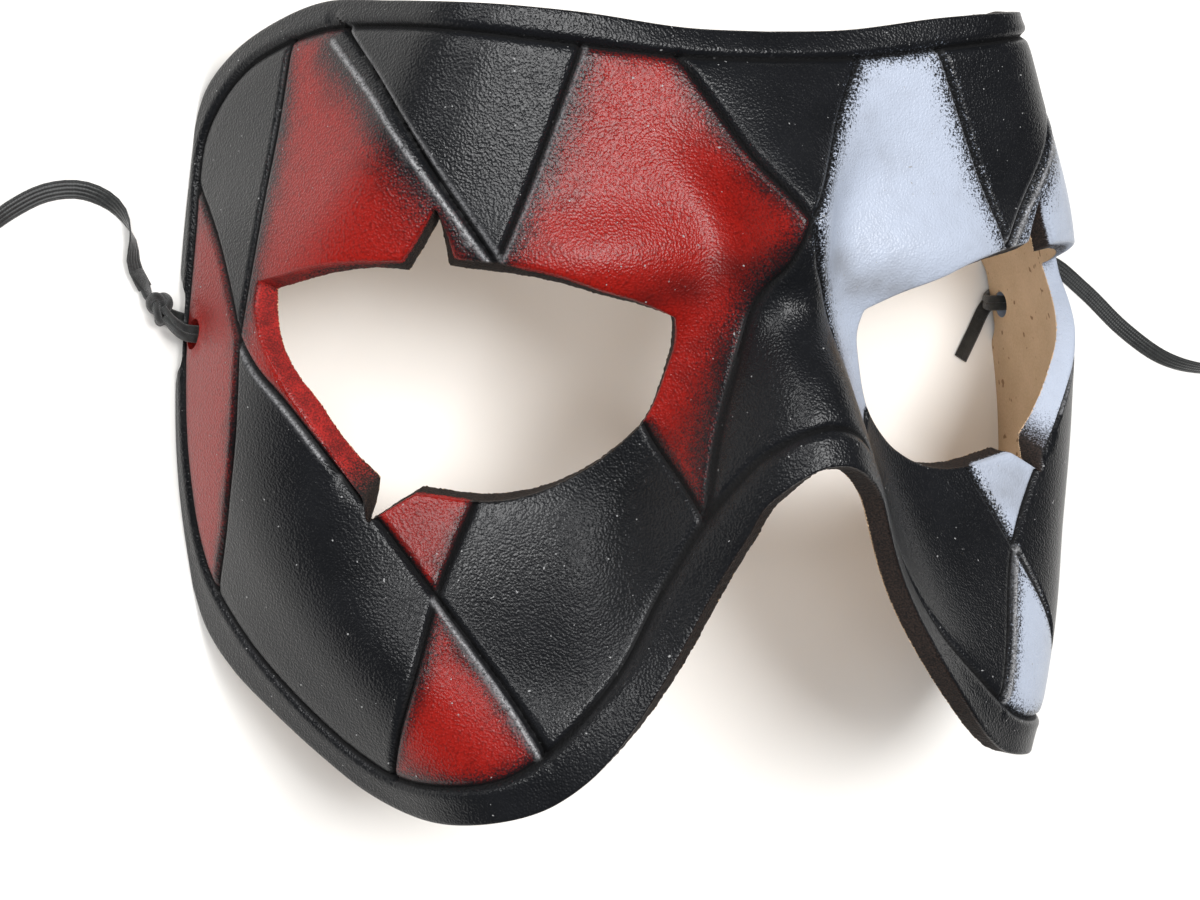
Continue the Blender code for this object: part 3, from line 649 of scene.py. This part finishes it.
def tooling(p):
    """How far the tooling sinks the leather at p, in millimetres.

    Each line is a cut exp(-(d / 0.42)^2) with a pressed slope beside it, and the
    leather beyond rises in a slight lip. Along the border line the field is
    bevelled down towards the band, so the band stands proud. BEVELS are slopes
    pressed on one side of a line, which rise over their width to a sharp ridge.
    """
    d = np.min([away(p, even(line, 1.0)) for line in tooled.values()], axis=0)
    b = away(p, even(border, 1.0))
    field = within(p, np.concatenate([border, [[0, -7.2]]]))
    deep = 0.8 * np.exp(-(d / 0.42)**2) + 0.22 * np.exp(-(d / 1.3)**2)
    deep -= 0.13 * np.exp(-((d - 1.15) / 0.45)**2)
    line = 0.8 * np.exp(-(b / 0.5)**2) - 0.15 * np.exp(-((b - 1.5) / 0.6)**2) * ~field
    line = line + np.where(field, 0.3 * np.exp(-(b / 1.5)**2), 0.3 * np.exp(-(b / 0.7)**2))
    for name, wide, sink in BEVELS:
        run = even(tooled[name], 1.0)
        ends = np.array([run[-1, 1], run[0, 1]])
        rising = 1 if ends[1] > ends[0] else -1
        here = np.interp(p[:, 1] * rising, ends * rising, wide[::-1])
        over = left_of(p, run) / here
        near = away(p, run) < here * 1.6
        slope = sink * np.clip(1 - over, 0, 1) * (over > 0)
        line = line + np.where(near, slope - 0.12 * np.exp(-((over - 1.08) / 0.2)**2), 0)
    return np.maximum(deep, 0) + line


def settled(points, p):
    """Lays the temple edge on the table: nothing of the leather goes below it."""
    points[:, 2] = np.maximum(points[:, 2], 0.0)
    points[np.abs(p[:, 0]) < 1e-6, 0] = 0
    return points


outer = settled(form(outer_flat[:, 0], outer_flat[:, 1], -tooling(outer_flat)), outer_flat)
inner_n = outward(inner_flat[:, 0], inner_flat[:, 1])
inner = settled(form(inner_flat[:, 0], inner_flat[:, 1]) - THICK * inner_n, inner_flat)

# Cut edges: eased at both corners, slightly ragged where the knife tore the fibres
WALL = [(0.08, 0.10), (0.0, 0.34), (0.0, 1.0), (0.0, 1.7), (0.0, 2.4), (0.0, 3.06), (0.08, 3.3)]
blocks = [outer, inner]
flats = [outer_flat, inner_flat]
depths = [np.zeros(len(outer)), np.full(len(inner), THICK)]
faces = [outer_faces, inner_faces[:, ::-1] + len(outer)]
count = len(outer) + len(inner)
for (near, far, closed), top, bottom in zip(edges, outer_rims, inner_rims):
    rows = [top]
    out_way = facing(near, closed)
    along = np.arange(len(near)) * 0.5
    for inset, depth in WALL:
        ragged = 0.07 * np.sin(along * 2.9 + depth * 5) * np.sin(along * 1.3 + depth * 2.1)
        ragged = ragged + 0.07 * np.sin(along * 5.7 + depth * 9) * np.sin(along * 0.83 + depth)
        ragged = np.where(depth > 0.5, ragged * min(1.0, depth / 2), 0.0)
        if len(near) < 60:
            ragged = ragged * 0.3
        at = near + (far - near) * depth / THICK - (inset + ragged[:, None]) * out_way
        ring = form(at[:, 0], at[:, 1]) - depth * outward(at[:, 0], at[:, 1])
        blocks.append(settled(ring, near))
        flats.append(near)
        depths.append(np.full(len(near), depth))
        rows.append(count + np.arange(len(near)))
        count += len(near)
    rows.append(bottom + len(outer))
    for upper, lower in zip(rows[:-1], rows[1:]):
        k = np.arange(len(near) if closed else len(near) - 1)
        j = (k + 1) % len(near)
        faces.append(np.column_stack([upper[k], upper[j], lower[j]]))
        faces.append(np.column_stack([upper[k], lower[j], lower[k]]))
half = np.concatenate(blocks)
flat = np.concatenate(flats)
depth = np.concatenate(depths)
faces = np.concatenate(faces)
on_middle = np.abs(half[:, 0]) < 1e-7
twin = np.where(on_middle, np.arange(len(half)), np.cumsum(~on_middle) - 1 + len(half))
points = np.concatenate([half, half[~on_middle] * np.array([-1, 1, 1])])
faces = np.concatenate([faces, twin[faces][:, ::-1]])

# Paint: in each lozenge the colour is rubbed in from its middle and dies out towards
# the tooled lines, faster at some than at others. "fill" is 0 at a lozenge's edge and
# 1 where it is fully painted: the least of the distances over each line's own width.
LOZENGES = [
    [("temple_back", 1.6), ("temple_down", 2.2), ("border_rear", 1.6)],
    [("temple_up", 4.5), ("under_eye", 1.0), ("lid_down", 2.2), ("brow_outer", 5.5),
     ("border_top", 2.6)],
    [("brow_inner", 4.6), ("inner_eye", 1.6), ("nose_side", 3.8), ("bridge_up", 3.4),
     ("border_mid", 2.4)],
    [("cheek_inner", 2.4), ("cheek_outer", 2.4), ("border_low", 2.8)],
]


def span_of(line, start, end):
    """The stretch of a line between the points nearest to start and to end."""
    i = int(np.argmin(np.hypot(*(line - start).T)))
    j = int(np.argmin(np.hypot(*(line - end).T)))
    return line[i:j + 1] if i <= j else line[j:i + 1][::-1]


SIDES = dict(tooled)
for name, wide, _ in BEVELS:
    SIDES[name] = ridge(name, wide)
SIDES["border_rear"] = span_of(border, (109.2, 36.4), (96.6, -28.6))
SIDES["border_top"] = span_of(border, (72.3, 56.4), (84.9, 56.4))
SIDES["border_mid"] = span_of(border, (15.5, 48.9), (30.6, 50.5))
SIDES["border_low"] = span_of(border, (62.1, -56.7), (39.0, -53.0))
OUTLINES = [
    [SIDES["border_rear"], SIDES["temple_down"][::-1], SIDES["temple_back"][::-1]],
    [SIDES["temple_up"], SIDES["under_eye"], SIDES["lid_down"][::-1],
     SIDES["brow_outer"][::-1], SIDES["border_top"]],
    [SIDES["brow_inner"], SIDES["inner_eye"], SIDES["nose_side"][::-1],
     SIDES["bridge_up"][::-1], SIDES["border_mid"]],
    [SIDES["cheek_outer"], SIDES["border_low"], SIDES["cheek_inner"][::-1]],
]
fill = np.full(len(flat), -1.0)
for names, outline_parts in zip(LOZENGES, OUTLINES):
    loop = even(np.concatenate(outline_parts), 1.0)
    reach = np.min([away(flat, even(SIDES[name], 1.0)) / wide for name, wide in names], axis=0)
    fill = np.maximum(fill, np.where(within(flat, loop), np.minimum(reach, 3), -reach))
line_gap = near_lines(flat)


def beside(line, gap, width):
    """A soft stripe exp(-(d / width)^2) about a line's copy set over to its left by gap."""
    return np.exp(-(away(flat, set_over(line, gap)) / width)**2)


# Wear and painted highlight: pale stripes beside these lines and along the bevel ridges, where
# the edge is worn and where the bevel catches the light
WEAR_AND_HIGHLIGHT = [("brow_outer", 0, 1, -0.75, 0.6), ("brow_inner", 0, 1, -0.75, 0.45),
        ("under_eye", 0.02, 0.5, 0.75, 0.6)]
wear_and_highlight = np.zeros(len(flat))
for name, start, end, gap, strength in WEAR_AND_HIGHLIGHT:
    line = tooled[name]
    stretch = even(line[int(start * len(line)):int(end * len(line))], 1.0)
    wear_and_highlight = np.maximum(wear_and_highlight, strength * beside(stretch, gap, 0.25))
for name, wide, _ in BEVELS:
    wear_and_highlight = np.maximum(wear_and_highlight, np.exp(-(away(flat, ridge(name, wide, 1.05)) / 0.3)**2))
# Painted shade: dark spots where the face turns down under the inner brow, and on the small
# lozenge below the eye
PAINTED_SHADE_SPOTS = [(20.5, 13.2, 5.5, 2.8, 0.5), (15.5, 14.5, 7.5, 3.2, 0.55), (9.5, 17.5, 4.5, 2.8, 0.5),
           (53.5, -19.5, 7.0, 7.0, 0.4)]
painted_shade = np.zeros(len(flat))
for at_u, at_v, wide_u, wide_v, strength in PAINTED_SHADE_SPOTS:
    painted_shade = np.maximum(painted_shade, strength * np.exp(-((flat[:, 0] - at_u) / wide_u)**2
                                                  - ((flat[:, 1] - at_v) / wide_v)**2))
# Paint on the cut rim: over all its depth at the outer corner of the eye, and elsewhere
# only over the rounded front edge
outer_corner = ease((flat[:, 0] - 58) / 4) * ease((24 - flat[:, 1]) / 8)
rim_paint = np.clip(fill, -1, 1) * (1 - (1 - outer_corner) * ease((depth - 0.5) / 0.8))
side_sign = np.where(on_middle, 0.0, 1.0)


def both(values, odd=False):
    """A half's values for the whole shell."""
    return np.concatenate([values, values[~on_middle] * (-1 if odd else 1)])


leather = bpy.data.materials.new("dyed_tooled_leather")
shell = piece("leather_shell", points, faces.tolist(), leather, 50)
for name, values in (("fill", both(fill)), ("line_gap", both(line_gap)), ("depth", both(depth)),
                     ("wear_and_highlight", both(wear_and_highlight)),
                     ("painted_shade", both(painted_shade)),
                     ("rim_paint", both(rim_paint)), ("white_side", both(side_sign, True))):
    layer = shell.data.attributes.new(name, "FLOAT", "POINT")
    layer.data.foreach_set("value", values.astype(np.float32))
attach(shell, "root")
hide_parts("mask")

# Leather's finish: black dye, with acrylic paint rubbed over a pebbled grain about 0.4 mm
# across. The paint breaks up into specks at a lozenge's edge. Beside some tooled lines and on the
# pressed ridges the face is rubbed pale grey, which is partly wear and partly a painted highlight
# on the bevel. The flesh side is undyed tan, and the cut edges are dyed dark.
MATH = "ShaderNodeMath"
RANGE = "ShaderNodeMapRange"
BLEND = "ShaderNodeMix"
ADD = {"operation": "MULTIPLY_ADD"}
TIMES = {"operation": "MULTIPLY"}
EASED = {"interpolation_type": "SMOOTHSTEP"}
COLOUR = {"data_type": "RGBA"}
leather.use_nodes = True
tree = leather.node_tree
shader = tree.nodes["Principled BSDF"]
place = node(tree, "ShaderNodeTexCoord").outputs["Object"]
fill_in, gap, deep_in, wear_and_highlight_in, painted_shade_in, rim_in, side_in = (
    node(tree, "ShaderNodeAttribute", {"attribute_name": name}).outputs["Fac"]
    for name in ("fill", "line_gap", "depth", "wear_and_highlight", "painted_shade", "rim_paint", "white_side"))
pebble = node(tree, "ShaderNodeTexVoronoi", {"feature": "SMOOTH_F1"}, i0=place, i2=2900.0,
              i5=0.4)
crease, speck, blotch, cloud, dots, pores = (
    node(tree, "ShaderNodeTexNoise", i0=place, i2=scale, i3=detail, i4=rough)
    for scale, detail, rough in ((2200.0, 2.0, 0.6), (3600.0, 2.0, 0.6), (95.0, 3.0, 0.5),
                                 (330.0, 3.0, 0.5), (1700.0, 0.0, 0.5), (560.0, 1.0, 0.5)))

# Where the paint holds: the lozenge's fill, broken up by the grain
hold = node(tree, MATH, ADD, i0=blotch, i1=0.6, i2=fill_in)
hold = node(tree, MATH, ADD, i0=pebble, i1=-0.7, i2=hold)
hold = node(tree, MATH, ADD, i0=speck, i1=1.9, i2=hold)
red_share = node(tree, RANGE, EASED, i0=hold, i1=0.95, i2=2.1)
hold = node(tree, MATH, ADD, i0=pebble, i1=-1.2, i2=fill_in)
hold = node(tree, MATH, ADD, i0=speck, i1=2.6, i2=hold)
white_share = node(tree, RANGE, EASED, i0=hold, i1=0.85, i2=1.6)

# Red paint: brighter in the middle, darker in the grain, and taken to deep maroon by painted
# shade under the inner brow and on the small lozenge below the eye
black = node(tree, BLEND, COLOUR, i0=blotch, i6=linear("0E0F11"), i7=linear("1A1B1E"))
tone = node(tree, MATH, ADD, i0=blotch, i1=0.9, i2=0.0)
tone = node(tree, MATH, ADD, i0=cloud, i1=0.9, i2=tone)
tone = node(tree, MATH, ADD, i0=fill_in, i1=0.3, i2=tone)
tone = node(tree, RANGE, EASED, i0=tone, i1=0.55, i2=1.6)
red = node(tree, BLEND, COLOUR, i0=tone, i6=linear("4E0B09"), i7=linear("8E160F"))
tone = node(tree, MATH, ADD, i0=speck, i1=-0.9, i2=0.5)
tone = node(tree, MATH, ADD, i0=pebble, i1=0.8, i2=tone)
tone = node(tree, RANGE, EASED, i0=tone, i1=0.2, i2=0.8, i3=0.0, i4=0.55)
red = node(tree, BLEND, COLOUR, i0=tone, i6=red, i7=linear("3C0908"))
# Painted shade: the red goes to deep maroon in the spots under the inner brow and below the eye
tone = node(tree, MATH, ADD, i0=speck, i1=0.4, i2=-0.2)
tone = node(tree, MATH, ADD, i0=painted_shade_in, i1=1.0, i2=tone)
tone = node(tree, RANGE, EASED, i0=tone, i1=0.0, i2=1.0)
red = node(tree, BLEND, COLOUR, i0=tone, i6=red, i7=linear("260808"))

# White paint: cool, greyer in random patches, and darker grey where shade is painted under the
# inner brow
tone = node(tree, MATH, ADD, i0=painted_shade_in, i1=-0.6, i2=0.0)
tone = node(tree, MATH, ADD, i0=blotch, i1=0.3, i2=tone)
tone = node(tree, MATH, ADD, i0=cloud, i1=0.3, i2=tone)
tone = node(tree, RANGE, EASED, i0=tone, i1=-0.25, i2=0.4)
white = node(tree, BLEND, COLOUR, i0=tone, i6=linear("85888F"), i7=linear("ABB3C2"))

# Front face: dyed black, painted red or white by its side, dusty, with painted shade in the cut
# lines, and pale along the ridges from wear and a painted highlight
is_white = node(tree, RANGE, EASED, i0=side_in, i1=-0.1, i2=0.1)
red_done = node(tree, BLEND, COLOUR, i0=red_share, i6=black, i7=red)
white_done = node(tree, BLEND, COLOUR, i0=white_share, i6=black, i7=white)
outside = node(tree, BLEND, COLOUR, i0=is_white, i6=red_done, i7=white_done)
dust = node(tree, RANGE, EASED, i0=dots, i1=0.845, i2=0.87)
outside = node(tree, BLEND, COLOUR, i0=dust, i6=outside, i7=linear("8E8E8E"))
# Painted shade: the tooled cut lines darkened to near black
painted_groove_shade = node(tree, RANGE, EASED, i0=gap, i1=0.25, i2=0.6, i3=0.85, i4=0.0)
outside = node(tree, BLEND, COLOUR, i0=painted_groove_shade, i6=outside, i7=linear("070708"))
# Wear and painted highlight: pale grey along the worn lines and bevel ridges
rub_and_highlight = node(tree, MATH, ADD, i0=crease, i1=0.5, i2=0.0)
rub_and_highlight = node(tree, MATH, ADD, i0=speck, i1=0.5, i2=rub_and_highlight)
rub_and_highlight = node(tree, RANGE, EASED, i0=rub_and_highlight, i1=0.3, i2=0.6)
rub_and_highlight = node(tree, MATH, TIMES, i0=wear_and_highlight_in, i1=rub_and_highlight)
scuffed_and_highlit = node(tree, BLEND, COLOUR, i0=rub_and_highlight, i6=outside, i7=linear("9C9C9E"))

# Flesh side: tan, with small darker pores
tone = node(tree, MATH, ADD, i0=crease, i1=0.4, i2=0.0)
tone = node(tree, MATH, ADD, i0=blotch, i1=0.7, i2=tone)
tone = node(tree, RANGE, EASED, i0=tone, i1=0.3, i2=0.8)
tan = node(tree, BLEND, COLOUR, i0=tone, i6=linear("B79C7C"), i7=linear("CDB091"))
tone = node(tree, RANGE, EASED, i0=pores, i1=0.7, i2=0.76)
tan = node(tree, BLEND, COLOUR, i0=tone, i6=tan, i7=linear("8A6D50"))

# Cut edges: dark brown fibres, with the paint carried over where rim_paint says
tone = node(tree, RANGE, EASED, i0=speck, i1=0.3, i2=0.7)
cut = node(tree, BLEND, COLOUR, i0=tone, i6=linear("0D0C0C"), i7=linear("2E231E"))
tone = node(tree, MATH, ADD, i0=cloud, i1=0.5, i2=0.0)
tone = node(tree, MATH, ADD, i0=speck, i1=0.8, i2=tone)
tone = node(tree, RANGE, EASED, i0=tone, i1=0.45, i2=0.9)
cut_red = node(tree, BLEND, COLOUR, i0=tone, i6=linear("5A0F0D"), i7=linear("A31F1A"))
cut_paint = node(tree, BLEND, COLOUR, i0=is_white, i6=cut_red, i7=white)
wall_in = node(tree, MATH, ADD, i0=speck, i1=0.7, i2=rim_in)
wall_in = node(tree, RANGE, EASED, i0=wall_in, i1=0.6, i2=1.0)
edge_paint = node(tree, BLEND, COLOUR, i0=wall_in, i6=cut, i7=cut_paint)

# From the front face over the cut edge to the back
over_edge = node(tree, RANGE, EASED, i0=deep_in, i1=0.05, i2=0.4)
body = node(tree, BLEND, COLOUR, i0=over_edge, i6=scuffed_and_highlit, i7=edge_paint)
to_back = node(tree, MATH, ADD, i0=speck, i1=0.6, i2=deep_in)
to_back = node(tree, RANGE, EASED, i0=to_back, i1=3.45, i2=3.6)
body = node(tree, BLEND, COLOUR, i0=to_back, i6=body, i7=tan)
tree.links.new(body.outputs[2], shader.inputs["Base Color"])

# Satin on the face, dull in the cuts and on the fibres
rough = node(tree, MATH, ADD, i0=blotch, i1=0.12, i2=0.26)
rough = node(tree, MATH, ADD, i0=painted_shade_in, i1=0.15, i2=rough)
dull = node(tree, RANGE, EASED, i0=gap, i1=0.3, i2=0.6, i3=0.4, i4=0.0)
rough = node(tree, MATH, ADD, i0=dull, i1=1.0, i2=rough)
fibrous = node(tree, RANGE, EASED, i0=deep_in, i1=0.2, i2=0.8)
rough = node(tree, BLEND, {"data_type": "FLOAT"}, i0=fibrous, i2=rough, i3=0.8)
tree.links.new(rough.outputs[0], shader.inputs["Roughness"])
pebbles = node(tree, MATH, ADD, i0=crease, i1=0.35, i2=0.0)
pebbles = node(tree, MATH, ADD, i0=pebble, i1=0.65, i2=pebbles)
bump = node(tree, "ShaderNodeBump", i0=1.0, i1=0.00016, i3=pebbles)
tree.links.new(bump.outputs[0], shader.inputs["Normal"])
shader.inputs["IOR"].default_value = 1.5
shader.inputs["Specular IOR Level"].default_value = 0.33

# Table: a plain pale top that the mask lies on, in white laminate with a dull finish.
# It is the floor of the picture and no part of the object.
table = bpy.data.materials.new("pale_table_top")
table.use_nodes = True
table.node_tree.nodes["Principled BSDF"].inputs["Base Color"].default_value = linear("F2F0EC")
table.node_tree.nodes["Principled BSDF"].inputs["Roughness"].default_value = 0.6
floor_mesh = bpy.data.meshes.new("table_top")
floor_mesh.from_pydata([(-3, -3, 0), (3, -3, 0), (3, 3, 0), (-3, 3, 0)], [], [(0, 1, 2, 3)])
floor_mesh.materials.append(table)
floor = bpy.data.objects.new("table_top", floor_mesh)
bpy.context.scene.collection.objects.link(floor)

# Light: a soft window light nearly overhead, a weaker one low on the viewer's left, and
# a dim pale room, seen through a plain display curve so that black leather stays black.
for name, place_at, size, power in (("overhead", (0.1, 0.13, 1.08), 0.46, 10.5),
                                    ("left", (-0.66, 0.6, 0.85), 0.4, 5.0),
                                    ("fill", (-0.58, -0.06, 1.15), 0.7, 5.0)):
    lamp = bpy.data.lights.new(name, "AREA")
    lamp.size = size
    lamp.energy = power
    lamp_object = bpy.data.objects.new(name, lamp)
    lamp_object.location = place_at
    lamp_object.rotation_euler = (-Vector(place_at)).to_track_quat("-Z", "Y").to_euler()
    lamp_object.visible_glossy = name != "fill"
    bpy.context.scene.collection.objects.link(lamp_object)
world = bpy.data.worlds.new("room")
world.use_nodes = True
world.node_tree.nodes["Background"].inputs[0].default_value = linear("F4F6FA")
world.node_tree.nodes["Background"].inputs[1].default_value = 0.3
world.cycles_visibility.glossy = False
bpy.context.scene.world = world
bpy.context.scene.view_settings.view_transform = "Standard"
